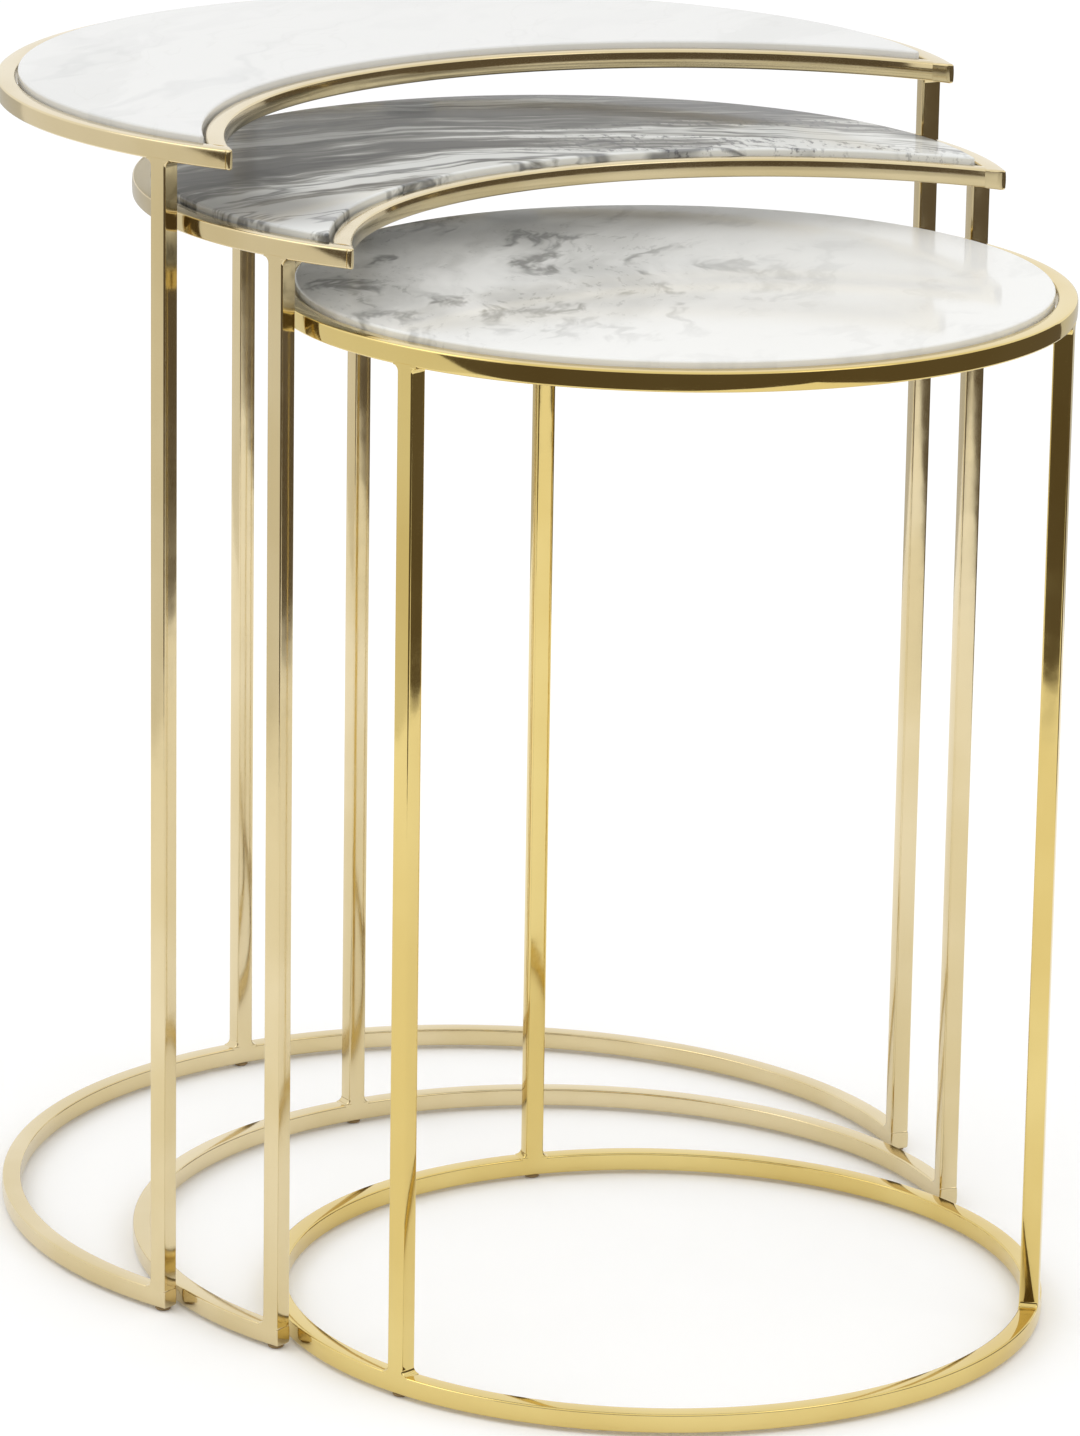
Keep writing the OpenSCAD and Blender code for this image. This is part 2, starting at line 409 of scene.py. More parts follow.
def fillet(distance):
    """How far a weld's fillet stands out from a leg, that far from the bar it meets."""
    if distance >= WELD:
        return 0.0
    away = WELD - max(distance, 0.0)
    return WELD - math.sqrt(WELD ** 2 - away ** 2)


def leg(table, side):
    """A leg, flared by the weld where it meets the rim and the floor bar."""
    angle = table.legs[side] - BACK - table.turn
    foot, head = table.base_top, table.rim_low
    # An end leg stands at the end of the floor arc, so its far side has no fillet there
    free_side = 0
    if table is not SMALL and side != "back":
        free_side = 1 if side == "left" else -1
    rows = [i / WELD_STEPS for i in range(WELD_STEPS + 1)]
    levels = [foot - WELD_ROOT] + [foot + WELD * t * t for t in rows]
    levels += steps_between(foot + BLEND, head - BLEND, LEG_STEP)
    levels += [head - WELD * t * t for t in reversed(rows)] + [head + WELD_ROOT]
    flat = table.radius - LEG_INSET
    c, s = math.cos(angle), math.sin(angle)
    rings = []
    for z in levels:
        low_flare, high_flare = fillet(z - foot), fillet(head - z)
        flush = max(0.0, 1 - max(min(z - foot, head - z), 0.0) / BLEND)
        left = BAR / 2 + high_flare + (0.0 if free_side > 0 else low_flare)
        right = BAR / 2 + high_flare + (0.0 if free_side < 0 else low_flare)
        ring = []
        for w, u in rounded_section(-left, right, flat - BAR, flat, BAR_EDGE):
            # The outer face bends to the rim's and the floor bar's curve where it meets them
            if u > table.radius - BAR / 2:
                u += flush * (math.sqrt(table.radius ** 2 - w ** 2) - flat)
            ring.append(table.place(w * c - u * s, w * s + u * c, z))
        rings.append(ring)
    return loft(rings)


# ---------------------------------------------------------------- stone

def round_slab(table):
    """A disc of stone with eased edges."""
    radius = table.radius - BAR - STONE_GAP
    low, top = table.stone_low, table.stone_top
    side = [(radius - d, z) for d, z in eased_levels(low, top, STONE_FOOT, STONE_EDGE)]
    spokes = [radius * part for part in SLAB_SPOKES]
    profile = [(0.0, low)] + [(r, low) for r in spokes] + side
    profile += [(r, top) for r in reversed(spokes)] + [(0.0, top)]
    return lathe(profile, table.centre, SLAB_TURN_STEPS)


def crescent_slab(table):
    """A crescent of stone with eased edges and square-cut tips."""
    low, top = table.stone_low, table.stone_top
    wall = table.bay_radius + BAR + STONE_GAP
    rim = table.radius - BAR - STONE_GAP
    tip_y = rim * math.cos(table.bay_angle(rim - TIP_WIDTH, wall))
    along, across = SLAB_ALONG_STEPS, SLAB_ACROSS_STEPS

    def grid(inset, z):
        """Rows of points from the bay's wall to the rim, at one level."""
        cut = tip_y + inset
        inner_r, outer_r = wall + inset, rim - inset
        inner_end = math.acos((cut + table.bay_offset) / inner_r)
        outer_end = math.acos(cut / outer_r)
        rows = []
        for i in range(along + 1):
            t = 2 * i / along - 1
            a = Vector(table.bay_polar(inner_r, t * inner_end, z))
            b = Vector(table.top_polar(outer_r, t * outer_end, z))
            rows.append([tuple(a.lerp(b, j / across)) for j in range(across + 1)])
        return rows

    loop = [(i, 0) for i in range(along + 1)]
    loop += [(along, j) for j in range(1, across + 1)]
    loop += [(i, across) for i in range(along - 1, -1, -1)]
    loop += [(0, j) for j in range(across - 1, 0, -1)]
    grids = [grid(inset, z) for inset, z in eased_levels(low, top, STONE_FOOT, STONE_EDGE)]
    verts, faces = loft([[g[i][j] for i, j in loop] for g in grids], caps=False)
    for level in (0, len(grids) - 1):
        index = {key: level * len(loop) + n for n, key in enumerate(loop)}
        for i in range(along + 1):
            for j in range(across + 1):
                if (i, j) not in index:
                    index[i, j] = len(verts)
                    verts.append(grids[level][i][j])
        for i in range(along):
            for j in range(across):
                faces.append((index[i, j], index[i + 1, j], index[i + 1, j + 1], index[i, j + 1]))
    return verts, faces


# ---------------------------------------------------------------- fittings

def tab_outline(root, tip, inset):
    """Outline of a support tab: (distance, sideways) pairs, with its two free corners rounded."""
    half = TAB_WIDTH / 2 - inset
    outward = 1 if tip > root else -1
    end = tip - outward * inset
    corner = TAB_CORNER - inset
    points = [(root, -half), (root, half)]
    turns = [i / CORNER_STEPS * math.pi / 2 for i in range(CORNER_STEPS + 1)]
    for side, angles in ((1, turns), (-1, reversed(turns))):
        for a in angles:
            along = end - outward * corner * (1 - math.sin(a))
            points.append((along, side * (half - corner * (1 - math.cos(a)))))
    return points


def tab(point, root, tip, low, top):
    """A support tab, drawn by a function that places (distance, sideways, z)."""
    rings = []
    for inset, z in eased_levels(low, top, PLATE_EDGE, PLATE_EDGE):
        rings.append([point(u, v, z) for u, v in tab_outline(root, tip, inset)])
    return loft(rings)


def spot(table, angle, bay=False):
    """A function that places (distance, sideways, z) along a direction from the back."""
    c, s = math.cos(angle), math.sin(angle)
    shift = table.bay_offset if bay else 0.0

    def point(distance, sideways, z):
        x = -distance * s + sideways * c
        y = distance * c + sideways * s - shift
        return table.place(x, y, z, table.top_turn)

    return point


def tab_spots(table):
    """(placing function, root distance, tip distance) for each of a table's tabs."""
    wall = table.radius - BAR
    if table is SMALL:
        return [(spot(table, a - BACK), wall + WELD_ROOT, wall - TAB_REACH) for a in ROUND_TABS]
    back = table.bay_radius + BAR
    rows = [(spot(table, a), wall + WELD_ROOT, wall - TAB_REACH) for a in OUTER_TABS]
    rows += [(spot(table, a, bay=True), back - WELD_ROOT, back + TAB_REACH) for a in BAY_TABS]
    return rows


def support_tabs(table):
    """All of a table's tabs, each rooted in the rim it is welded to."""
    return merged([tab(point, root, tip, table.rim_low, table.tab_top)
                   for point, root, tip in tab_spots(table)])


def slab_pads(table):
    """Soft discs between the tabs and the stone."""
    low, top = table.tab_top, table.stone_low
    edge = (top - low) * PAD_EDGE_PER_HEIGHT
    side = [(PAD_RADIUS - d, z) for d, z in eased_levels(low, top, edge, edge)]
    profile = [(0.0, low), (PAD_RADIUS / 2, low)] + side + [(PAD_RADIUS / 2, top), (0.0, top)]
    pads = []
    for point, root, tip in tab_spots(table):
        wall = root - WELD_ROOT if tip < root else root + WELD_ROOT
        pads.append(lathe(profile, point((wall + tip) / 2, 0.0, low), PAD_TURN_STEPS))
    return merged(pads)


def floor_glides(table):
    """Moulded glides pressed into the floor bar: a domed foot, a neck and a peg."""
    low, top = table.base_low, table.peg_top
    profile = [*GLIDE_FOOT, (GLIDE_NECK_RADIUS, low - GLIDE_NECK_HEIGHT), (GLIDE_TOP_RADIUS, low),
               (PEG_RADIUS, low), (PEG_RADIUS, top - PEG_TAPER),
               (PEG_RADIUS * PEG_TIP_PART, top), (0.0, top)]
    distance = table.radius - BAR / 2
    feet = []
    for angle in table.legs.values():
        centre = (table.centre.x + distance * math.cos(angle),
                  table.centre.y + distance * math.sin(angle))
        feet.append(lathe(profile, centre, GLIDE_TURN_STEPS))
    return merged(feet)


# ---------------------------------------------------------------- node helpers

# Socket numbers of a Mix node that mixes colours
MIX_FACTOR, MIX_FIRST, MIX_SECOND, MIX_RESULT = 0, 6, 7, 2


class Tree:
    """A material's nodes, with short ways to add the ones used here."""

    def __init__(self, name):
        self.material = bpy.data.materials.new(name)
        self.material.use_nodes = True
        self.tree = self.material.node_tree
        self.tree.nodes.clear()
        output = self.tree.nodes.new("ShaderNodeOutputMaterial")
        self.shader = self.tree.nodes.new("ShaderNodeBsdfPrincipled")
        self.join(self.shader.outputs["BSDF"], output.inputs["Surface"])
        self.place = self.tree.nodes.new("ShaderNodeTexCoord").outputs["Object"]

    def join(self, value, socket):
        """Links a socket, or sets a plain value."""
        if isinstance(value, bpy.types.NodeSocket):
            self.tree.links.new(value, socket)
        else:
            socket.default_value = value

    def set(self, **values):
        """Sets the shader's own inputs, with _ for a space in their names."""
        for name, value in values.items():
            self.join(value, self.shader.inputs[name.replace("_", " ")])

    def stretched(self, turn, stretch, source=None):
        """Coordinates that draw a pattern out by stretch, along axes turned by turn degrees."""
        node = self.tree.nodes.new("ShaderNodeMapping")
        node.vector_type = "TEXTURE"
        self.join(source or self.place, node.inputs["Vector"])
        node.inputs["Rotation"].default_value = (0, 0, math.radians(turn))
        node.inputs["Scale"].default_value = stretch
        return node.outputs[0]

    def curved(self, centre, radius, source):
        """Coordinates bent round a centre: along the arc, out from it, and up."""
        shift = self.tree.nodes.new("ShaderNodeVectorMath")
        shift.operation = "SUBTRACT"
        self.join(source, shift.inputs[0])
        shift.inputs[1].default_value = centre
        parts = self.tree.nodes.new("ShaderNodeSeparateXYZ")
        self.join(shift.outputs[0], parts.inputs[0])
        x, y, z = parts.outputs
        out = self.math("SQRT", self.math("ADD", self.product(x, x), self.product(y, y)))
        bent = self.tree.nodes.new("ShaderNodeCombineXYZ")
        self.join(self.product(self.math("ARCTAN2", x, y), radius), bent.inputs[0])
        self.join(out, bent.inputs[1])
        self.join(z, bent.inputs[2])
        return bent.outputs[0]

    def noise(self, scale, detail, rough=0.5, source=None, colour=False):
        """Noise of about scale lumps to the metre, as a value or as a colour."""
        node = self.tree.nodes.new("ShaderNodeTexNoise")
        self.join(source or self.place, node.inputs["Vector"])
        node.inputs["Scale"].default_value = scale
        node.inputs["Detail"].default_value = detail
        node.inputs["Roughness"].default_value = rough
        return node.outputs[1 if colour else 0]

    def warped(self, scale, amount):
        """Coordinates shifted along each axis by noise, by anything from 0 to amount."""
        push = self.noise(scale, detail=3, rough=0.55, colour=True)
        node = self.tree.nodes.new("ShaderNodeVectorMath")
        node.operation = "MULTIPLY_ADD"
        self.join(push, node.inputs[0])
        node.inputs[1].default_value = (amount, amount, amount)
        self.join(self.place, node.inputs[2])
        return node.outputs[0]

    def math(self, operation, a, b=0.0):
        """One Math node's result."""
        node = self.tree.nodes.new("ShaderNodeMath")
        node.operation = operation
        self.join(a, node.inputs[0])
        self.join(b, node.inputs[1])
        return node.outputs[0]

    def product(self, a, b):
        """Two values multiplied."""
        return self.math("MULTIPLY", a, b)

    def add_scaled(self, value, scale, offset):
        """A value scaled, with an offset added."""
        return self.math("ADD", self.product(value, scale), offset)

    def ranged(self, value, low, high, to_low=0.0, to_high=1.0):
        """A smooth step of value from (low, high) to (to_low, to_high)."""
        node = self.tree.nodes.new("ShaderNodeMapRange")
        node.interpolation_type = "SMOOTHSTEP"
        self.join(value, node.inputs["Value"])
        for name, number in (("From Min", low), ("From Max", high),
                             ("To Min", to_low), ("To Max", to_high)):
            node.inputs[name].default_value = number
        return node.outputs[0]

    def mix(self, factor, first, second):
        """The first colour where factor is 0, the second where it is 1."""
        node = self.tree.nodes.new("ShaderNodeMix")
        node.data_type = "RGBA"
        self.join(factor, node.inputs[MIX_FACTOR])
        self.join(first, node.inputs[MIX_FIRST])
        self.join(second, node.inputs[MIX_SECOND])
        return node.outputs[MIX_RESULT]

    def vein(self, scale, width, source, detail, rough):
        """Thin lines where noise crosses its middle value: 1 on the line, 0 away from it."""
        value = self.noise(scale, detail, rough, source)
        off = self.math("ABSOLUTE", self.math("SUBTRACT", value, 0.5))
        return self.ranged(off, 0.0, width, 1.0, 0.0)

    def near(self, centre, reach, fade):
        """1 out to reach from a point, fading to 0 over the distance fade."""
        node = self.tree.nodes.new("ShaderNodeVectorMath")
        node.operation = "DISTANCE"
        self.join(self.place, node.inputs[0])
        node.inputs[1].default_value = centre
        return self.ranged(node.outputs["Value"], reach, reach + fade, 1.0, 0.0)

    def bump(self, height, strength, distance, under=None):
        """A normal bent by a height, over another one if it is given."""
        node = self.tree.nodes.new("ShaderNodeBump")
        node.inputs["Strength"].default_value = strength
        node.inputs["Distance"].default_value = distance
        self.join(height, node.inputs["Height"])
        if under is not None:
            self.join(under, node.inputs["Normal"])
        return node.outputs[0]


def rgb(red, green, blue):
    """A display colour, 0 to 255, as the linear RGBA that shaders take."""
    values = []
    for v in (red, green, blue):
        v /= 255
        values.append(v / 12.92 if v <= 0.04045 else ((v + 0.055) / 1.055) ** 2.4)
    return (*values, 1.0)


# ---------------------------------------------------------------- materials

# Places on the tops around which a stone's pattern or the grey top's painted shade changes, in the
# frame's coordinates
WHITE_VEINED_END = (-0.17, 0.12, 0.6)
GREY_STREAK_CENTRE = (-0.05, -0.25, 0.0)
GREY_STREAK_RADIUS = 0.28
# Painted shade and painted reflection: the grey top is kept lighter within reach of this point by its
# bay and darkened beyond it, at the back under the large table.
GREY_CLEAR_OF_SHADE_CENTRE = (0.0, -0.2235, 0.5625)
GREY_DARK_END = (-0.185, -0.04, 0.565)
GREY_SPECKS = (0.11, 0.0, 0.565)
VEINED_LEFT = (-0.10, -0.03, 0.528)

# How far the stones' grain is turned, in degrees, and how it is drawn out along and across
WHITE_GRAIN = (38, (2.2, 0.62, 1))
GREY_GRAIN = (-4, (3.3, 0.5, 1))
GREY_HAIR_GRAIN = (-4, (6, 0.5, 1))
GREY_SPECK_GRAIN = (75, (1.6, 0.7, 1))
VEINED_GRAIN = (52, (1.7, 0.66, 1))


def brass(name, light, deep, rough_low, rough_high):
    """Plated brass: soft colour drift, polishing haze, fine lines and waves in its reflections."""
    t = Tree(name)
    drift = t.ranged(t.noise(9, detail=3), 0.35, 0.65)
    haze = t.noise(38, detail=5, rough=0.62)
    lines = t.noise(1500, detail=2, rough=0.6, source=t.stretched(0, (1, 1, 8)))
    waves = t.bump(t.noise(26, detail=2, rough=0.4), strength=0.3, distance=0.6 * MM)
    t.set(Base_Color=t.mix(drift, light, deep), Metallic=1.0,
          Roughness=t.ranged(haze, 0.38, 0.68, rough_low, rough_high),
          Normal=t.bump(lines, strength=0.05, distance=0.02 * MM, under=waves))
    return t.material


def polished(t, colour, rough_source):
    """Stone under a polish: a glossy coat over a softer body with fine pits."""
    pits = t.noise(420, detail=3, rough=0.6)
    t.set(Base_Color=colour, Roughness=t.ranged(rough_source, 0.3, 0.7, 0.34, 0.5),
          Specular_IOR_Level=0.2, Coat_Weight=0.5, Coat_Roughness=0.07, Coat_IOR=1.48,
          Normal=t.bump(pits, strength=0.04, distance=0.03 * MM))
    return t.material


def white_marble():
    """Nearly white, with a few pale grey drifts and hairline veins."""
    t = Tree("white_marble_polished")
    white, drift_grey = rgb(221, 221, 219), rgb(206, 207, 205)
    vein_grey, hairline_grey = rgb(180, 182, 182), rgb(182, 181, 176)
    grain_grey = rgb(208, 208, 204)
    lengthwise = t.stretched(*WHITE_GRAIN, t.warped(7, amount=0.10))
    cloud = t.ranged(t.noise(9, detail=5, rough=0.55, source=lengthwise), 0.46, 0.72)
    vein = t.vein(7, width=0.05, source=lengthwise, detail=4, rough=0.55)
    hairline = t.vein(15, width=0.012, source=lengthwise, detail=3, rough=0.5)
    veined_end = t.near(WHITE_VEINED_END, reach=0.03, fade=0.16)
    vein_strength = t.add_scaled(veined_end, scale=0.2, offset=0.08)
    grain = t.ranged(t.noise(700, detail=2), 0.4, 0.6, 0.0, 0.06)
    colour = t.mix(t.product(cloud, 0.3), white, drift_grey)
    colour = t.mix(t.product(vein, vein_strength), colour, vein_grey)
    colour = t.mix(t.product(hairline, 0.1), colour, hairline_grey)
    colour = t.mix(grain, colour, grain_grey)
    return polished(t, colour, cloud)


def grey_marble():
    """Grey, with pale and dark streaks that follow the crescent, dark specks on the right, and
    painted shade and painted reflection darkening its back under the large table.
    """
    t = Tree("grey_marble_polished")
    grey, pale_grey, dark_grey = rgb(138, 138, 134), rgb(222, 223, 220), rgb(84, 84, 84)
    line_grey, end_grey, speck_grey = rgb(66, 67, 70), rgb(74, 72, 68), rgb(82, 82, 88)
    base = t.curved(GREY_STREAK_CENTRE, GREY_STREAK_RADIUS, t.warped(8, amount=0.05))
    streaks = t.stretched(*GREY_GRAIN, base)
    broad = t.noise(11, detail=5, rough=0.58, source=streaks)
    middle = t.noise(34, detail=4, rough=0.6, source=streaks)
    hair = t.noise(110, detail=3, rough=0.6, source=t.stretched(*GREY_HAIR_GRAIN, base))
    value = t.math("ADD", t.product(broad, 0.55), t.product(middle, 0.27))
    value = t.math("ADD", value, t.product(hair, 0.18))
    # Painted shade and painted reflection: away from the bay, where the large table overhangs the
    # back, the streaks are pushed darker; near the bay they are pushed paler.
    clear_of_painted_shade = t.near(GREY_CLEAR_OF_SHADE_CENTRE, reach=0.25, fade=0.08)
    value = t.math("ADD", value, t.add_scaled(clear_of_painted_shade, scale=0.095, offset=-0.04))
    # The pale and dark masks hold both the stone's real streaks and the painted shade at the back.
    pale = t.ranged(value, 0.47, 0.53)
    dark = t.ranged(value, 0.42, 0.485, 1.0, 0.0)
    line = t.vein(12, width=0.03, source=streaks, detail=4, rough=0.6)
    dark_end = t.near(GREY_DARK_END, reach=0.015, fade=0.055)
    speck = t.noise(170, detail=3, rough=0.7, source=t.stretched(*GREY_SPECK_GRAIN))
    speck = t.product(t.ranged(speck, 0.5, 0.64), t.near(GREY_SPECKS, reach=0.06, fade=0.1))
    speck_bands = t.ranged(t.noise(15, detail=3, source=streaks), 0.48, 0.56)
    colour = t.mix(pale, grey, pale_grey)
    colour = t.mix(t.product(dark, 0.9), colour, dark_grey)
    colour = t.mix(t.product(line, 0.7), colour, line_grey)
    colour = t.mix(t.product(dark_end, 0.6), colour, end_grey)
    colour = t.mix(t.product(t.product(speck, speck_bands), 0.75), colour, speck_grey)
    return polished(t, colour, broad)


def veined_marble():
    """White, with diagonal grey veins gathered on the left and faint ones on the right."""
    t = Tree("veined_marble_polished")
    white, patch_grey = rgb(233, 233, 230), rgb(160, 160, 155)
    vein_grey, speck_grey = rgb(108, 108, 104), rgb(104, 104, 100)
    base = t.warped(9, amount=0.07)
    diagonal = t.stretched(*VEINED_GRAIN, base)
    cloud = t.noise(8, detail=5, rough=0.55, source=diagonal)
    left = t.near(VEINED_LEFT, reach=0.06, fade=0.17)
    patch = t.product(t.ranged(cloud, 0.40, 0.60), left)
    vein = t.vein(9, width=0.05, source=diagonal, detail=5, rough=0.62)
    broken = t.ranged(t.noise(22, detail=3, source=base), 0.44, 0.56)
    vein_strength = t.add_scaled(left, scale=0.75, offset=0.08)
    speck = t.ranged(t.noise(120, detail=4, rough=0.7, source=diagonal), 0.56, 0.66)
    colour = t.mix(t.product(patch, 0.6), white, patch_grey)
    colour = t.mix(t.product(t.product(vein, broken), vein_strength), colour, vein_grey)
    colour = t.mix(t.product(t.product(speck, patch), 0.5), colour, speck_grey)
    return polished(t, colour, cloud)


def zinc_steel():
    """Zinc-plated sheet: cool grey, faint spangle, fine rolling lines."""
    t = Tree("zinc_plated_steel")
    spangle = t.noise(160, detail=3, rough=0.6)
    lines = t.noise(900, detail=3, rough=0.6, source=t.stretched(0, (1, 10, 1)))
    t.set(Base_Color=t.mix(spangle, rgb(168, 171, 174), rgb(198, 200, 200)), Metallic=1.0,
          Roughness=t.ranged(spangle, 0.35, 0.65, 0.3, 0.46),
          Normal=t.bump(lines, strength=0.12, distance=0.05 * MM))
    return t.material


def clear_rubber():
    """Cloudy clear bumper rubber."""
    t = Tree("clear_bumper_rubber")
    cloud = t.noise(260, detail=4, rough=0.6)
    t.set(Base_Color=t.mix(cloud, rgb(205, 208, 205), rgb(226, 228, 224)),
          Roughness=t.ranged(cloud, 0.3, 0.7, 0.28, 0.42), Transmission_Weight=0.35, IOR=1.45,
          Normal=t.bump(cloud, strength=0.1, distance=0.05 * MM))
    return t.material


def brown_plastic():
    """Moulded plastic: mottled brown, with a fine matt texture."""
    t = Tree("brown_glide_plastic")
    mottle = t.noise(300, detail=4, rough=0.6)
    grain = t.noise(2600, detail=2)
    t.set(Base_Color=t.mix(mottle, rgb(116, 94, 58), rgb(148, 122, 78)),
          Roughness=t.ranged(mottle, 0.3, 0.7, 0.42, 0.62),
          Normal=t.bump(grain, strength=0.15, distance=0.05 * MM))
    return t.material


CHAMPAGNE = brass("champagne_brass_satin", rgb(223, 207, 168), rgb(214, 196, 151), 0.09, 0.15)
YELLOW = brass("yellow_brass_polished", rgb(225, 203, 134), rgb(216, 191, 119), 0.05, 0.1)
ZINC = zinc_steel()
RUBBER = clear_rubber()
GLIDE = brown_plastic()

# Each table's metal and stone, as (material, slot)
METALS = {"large": (CHAMPAGNE, "champagne_brass"), "medium": (CHAMPAGNE, "champagne_brass"),
          "small": (YELLOW, "yellow_brass")}
STONES = {"large": (white_marble(), "white_marble"), "medium": (grey_marble(), "grey_marble"),
          "small": (veined_marble(), "veined_marble")}


# ---------------------------------------------------------------- pieces

def build(table):
    """Every piece of one table."""
    metal, stone = METALS[table.name], STONES[table.name]

    def add(node, geometry, material, slot):
        """A piece of this table, in place of one of its nodes."""
        add_piece(f"{table.name}_{node}", geometry, material, slot, table.body)

    if table is SMALL:
        add("marble_top", round_slab(table), *stone)
        add("rim", bar_ring(table, table.rim_low, table.rim_top), *metal)
        add("base_ring", bar_ring(table, table.base_low, table.base_top), *metal)
    else:
        add("marble_top", crescent_slab(table), *stone)
        add("outer_rim", outer_rim(table), *metal)
        add("inner_rim", inner_rim(table), *metal)
        add("base_arc", base_arc(table), *metal)
    for side in table.legs:
        add(f"{side}_leg", leg(table, side), *metal)
    add("support_tabs", support_tabs(table), ZINC, "tab_steel")
    add("slab_pads", slab_pads(table), RUBBER, "clear_pad")
    add("floor_glides", floor_glides(table), GLIDE, "brown_glide")


for each in (LARGE, MEDIUM, SMALL):
    build(each)


# ---------------------------------------------------------------- camera

CAMERA_PLACE = (-1.7579, -2.8992, 1.2127)
CAMERA_AZIMUTH = math.radians(-31.2069)
CAMERA_PITCH = math.radians(15.4394)
CAMERA_ROLL = math.radians(0.9066)
CAMERA_LENS = 172.04
SENSOR_WIDTH = 36.0
CLIP_END = 60.0

camera_data = bpy.data.cameras.new("camera")
camera_data.lens = CAMERA_LENS
camera_data.sensor_width = SENSOR_WIDTH
camera_data.clip_end = CLIP_END
camera = bpy.data.objects.new("camera", camera_data)
bpy.context.scene.collection.objects.link(camera)
camera.matrix_world = (Matrix.Translation(CAMERA_PLACE)
                       @ Matrix.Rotation(CAMERA_AZIMUTH, 4, "Z")
                       @ Matrix.Rotation(math.pi / 2 - CAMERA_PITCH, 4, "X")
                       @ Matrix.Rotation(CAMERA_ROLL, 4, "Z"))
bpy.context.scene.camera = camera


# ---------------------------------------------------------------- studio

BLACK = (0.0, 0.0, 0.0, 1.0)
WHITE = (1.0, 1.0, 1.0, 1.0)
PAPER_WHITE = (0.95, 0.95, 0.95, 1.0)
DAYLIT = (1.0, 0.98, 0.94, 1.0)
WARM = (1.0, 0.82, 0.62, 1.0)
PAPER_GLOW = 0.05
MATT = 0.9

# Levels of the floor and, for reflections only, of the paper sheet on it and the room's floor
FLOOR_LEVEL = -0.1 * MM
SHEET_LEVEL = FLOOR_LEVEL / 2
ROOM_LEVEL = FLOOR_LEVEL * 3

# Outlines across and along the camera's line of sight. The polished bars reflect a sheet of
# white paper under the tables, and the room beyond its edges: each side of the room is given as
# (outline, glow, tint).
FLOOR_HALF = 14.0
FLOOR = ((-FLOOR_HALF, -FLOOR_HALF), (FLOOR_HALF, -FLOOR_HALF),
         (FLOOR_HALF, FLOOR_HALF), (-FLOOR_HALF, FLOOR_HALF))
FRONT_LEFT, FRONT_RIGHT = (-1.25, -1.0), (1.35, -1.75)
BACK_RIGHT, BACK_LEFT = (1.1, 1.2), (-1.25, 1.2)
SHEET = (FRONT_LEFT, FRONT_RIGHT, BACK_RIGHT, BACK_LEFT)
ROOM = 40.0
ROOM_LEFT_FRONT = (-ROOM, -ROOM * 0.35)
ROOM_SIDES = {
    "left": ((FRONT_LEFT, BACK_LEFT, (-ROOM, ROOM), ROOM_LEFT_FRONT), 0.86, DAYLIT),
    "back": ((BACK_LEFT, BACK_RIGHT, (ROOM, ROOM), (-ROOM, ROOM)), 0.62, DAYLIT),
    "right": ((BACK_RIGHT, FRONT_RIGHT, (ROOM, -ROOM), (ROOM, ROOM)), 0.13, WARM),
    "front": ((FRONT_RIGHT, FRONT_LEFT, ROOM_LEFT_FRONT, (-ROOM, -ROOM), (ROOM, -ROOM)),
              0.12, WARM),
}

# The room's two dark walls, which the crowned faces of the concave rims reflect
WALL_AWAY = 5.0
WALL_HEIGHT = 2.0
WALLS = {"front": ((-WALL_AWAY, -WALL_AWAY), (WALL_AWAY, -WALL_AWAY)),
         "right": ((WALL_AWAY, -WALL_AWAY), (WALL_AWAY, WALL_AWAY))}

# Softboxes as (place, size, power), and the point they face
SOFTBOXES = {"key_softbox": ((-1.6, 0.9, 2.4), (1.6, 1.2), 7.0),
             "front_softbox": ((0.9, -2.2, 2.6), (1.4, 1.0), 5.0)}
LIGHT_TARGET = (0.0, 0.0, 0.4)
WORLD_STRENGTH = 1.04


def flat_material(name, colour, glow, glow_colour):
    """A studio surface: matt, with an even glow."""
    material = bpy.data.materials.new(name)
    material.use_nodes = True
    shader = material.node_tree.nodes["Principled BSDF"]
    shader.inputs["Base Color"].default_value = colour
    shader.inputs["Roughness"].default_value = MATT
    shader.inputs["Specular IOR Level"].default_value = 0.0
    shader.inputs["Emission Color"].default_value = glow_colour
    shader.inputs["Emission Strength"].default_value = glow
    return material


def in_studio(right_of, behind, height):
    """A point given across and along the camera's line of sight, and its height."""
    c, s = math.cos(CAMERA_AZIMUTH), math.sin(CAMERA_AZIMUTH)
    return (right_of * c - behind * s, right_of * s + behind * c, height)


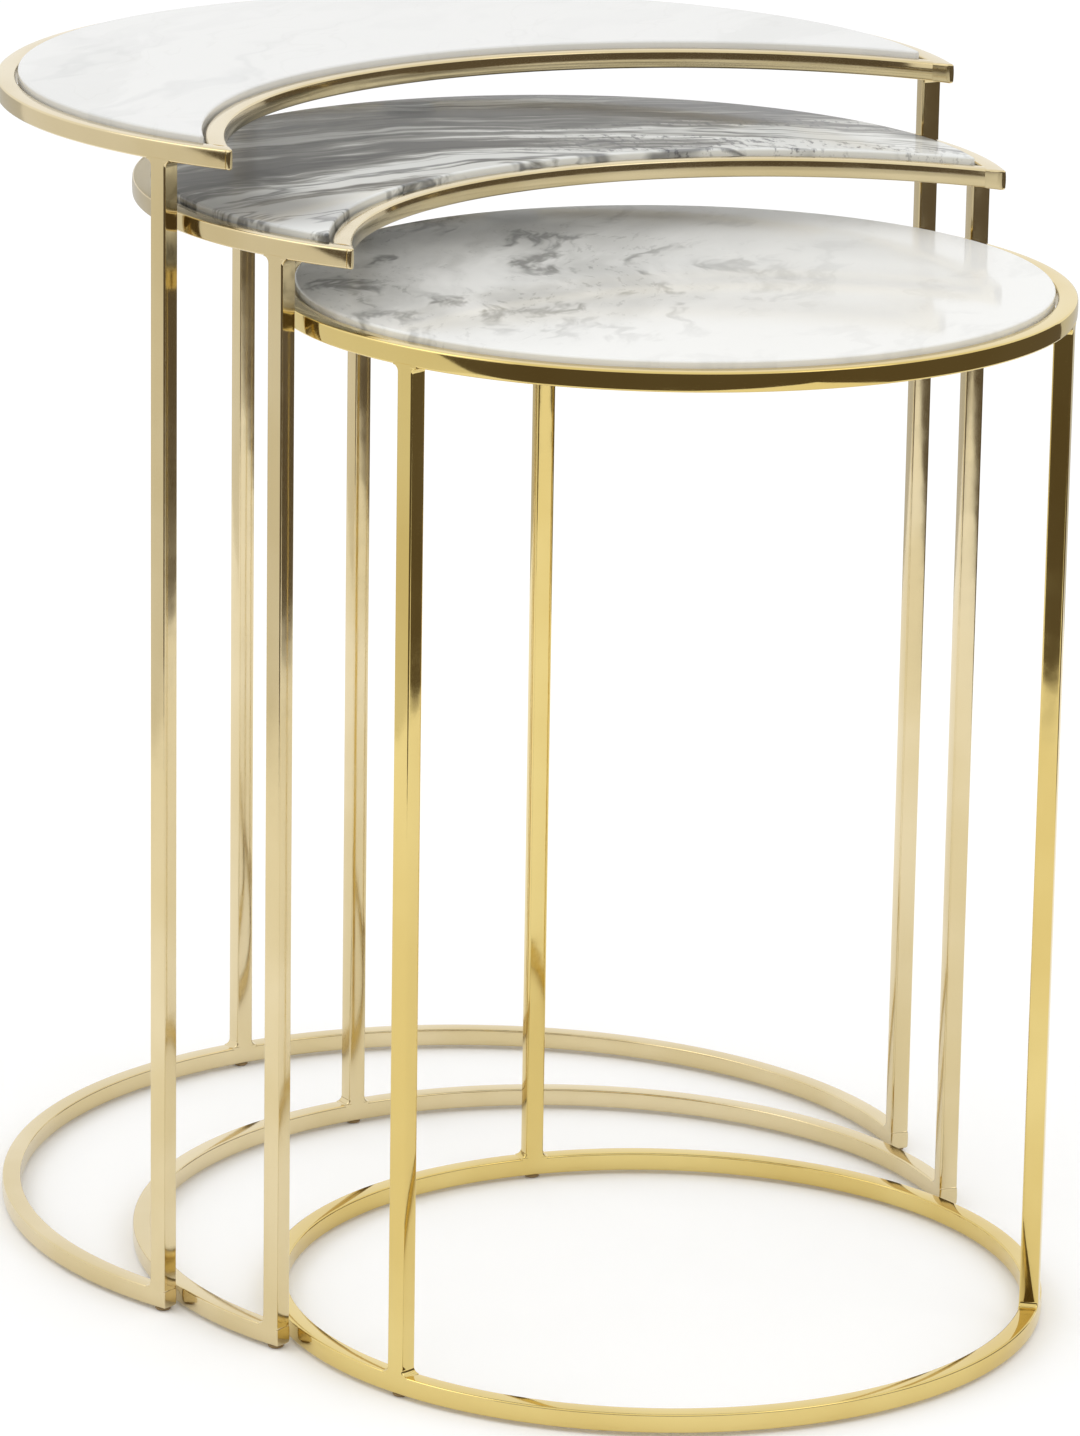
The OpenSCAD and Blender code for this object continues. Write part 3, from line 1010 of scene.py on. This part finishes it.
def level_outline(outline, height):
    """The corners of a level surface."""
    return [in_studio(right_of, behind, height) for right_of, behind in outline]


def studio_plane(name, corners, material, seen_by):
    """A flat staged surface, seen only by the named kinds of ray."""
    mesh = bpy.data.meshes.new(name)
    mesh.from_pydata(corners, [], [tuple(range(len(corners)))])
    mesh.materials.append(material)
    plane = bpy.data.objects.new(name, mesh)
    bpy.context.scene.collection.objects.link(plane)
    plane.visible_camera = "camera" in seen_by
    plane.visible_glossy = "glossy" in seen_by
    plane.visible_diffuse = "diffuse" in seen_by
    plane.visible_transmission = "camera" in seen_by
    plane.visible_shadow = "shadow" in seen_by


def area_light(name, place, size, power):
    """A softbox that faces the tables."""
    data = bpy.data.lights.new(name, "AREA")
    data.shape = "RECTANGLE"
    data.size, data.size_y = size
    data.energy = power
    light = bpy.data.objects.new(name, data)
    bpy.context.scene.collection.objects.link(light)
    light.location = place
    aim = Vector(LIGHT_TARGET) - Vector(place)
    light.rotation_euler = aim.to_track_quat("-Z", "Y").to_euler()


PAPER = flat_material("studio_paper", PAPER_WHITE, PAPER_GLOW, PAPER_WHITE)
studio_plane("studio_floor", level_outline(FLOOR, FLOOR_LEVEL), PAPER,
             ("camera", "diffuse", "shadow"))
studio_plane("studio_sheet", level_outline(SHEET, SHEET_LEVEL), PAPER, ("glossy",))
for side, (outline, glow, tint) in ROOM_SIDES.items():
    shade = flat_material(f"studio_{side}", BLACK, glow, tint)
    studio_plane(f"studio_room_{side}", level_outline(outline, ROOM_LEVEL), shade, ("glossy",))
    if side in WALLS:
        foot = level_outline(WALLS[side], ROOM_LEVEL)
        head = level_outline(WALLS[side], WALL_HEIGHT)
        studio_plane(f"studio_wall_{side}", foot + head[::-1], shade, ("glossy",))
for name, (place, size, power) in SOFTBOXES.items():
    area_light(name, place, size, power)

world = bpy.data.worlds.new("studio_white")
world.use_nodes = True
background = world.node_tree.nodes["Background"]
background.inputs["Color"].default_value = WHITE
background.inputs["Strength"].default_value = WORLD_STRENGTH
bpy.context.scene.world = world
bpy.context.scene.view_settings.view_transform = "Standard"
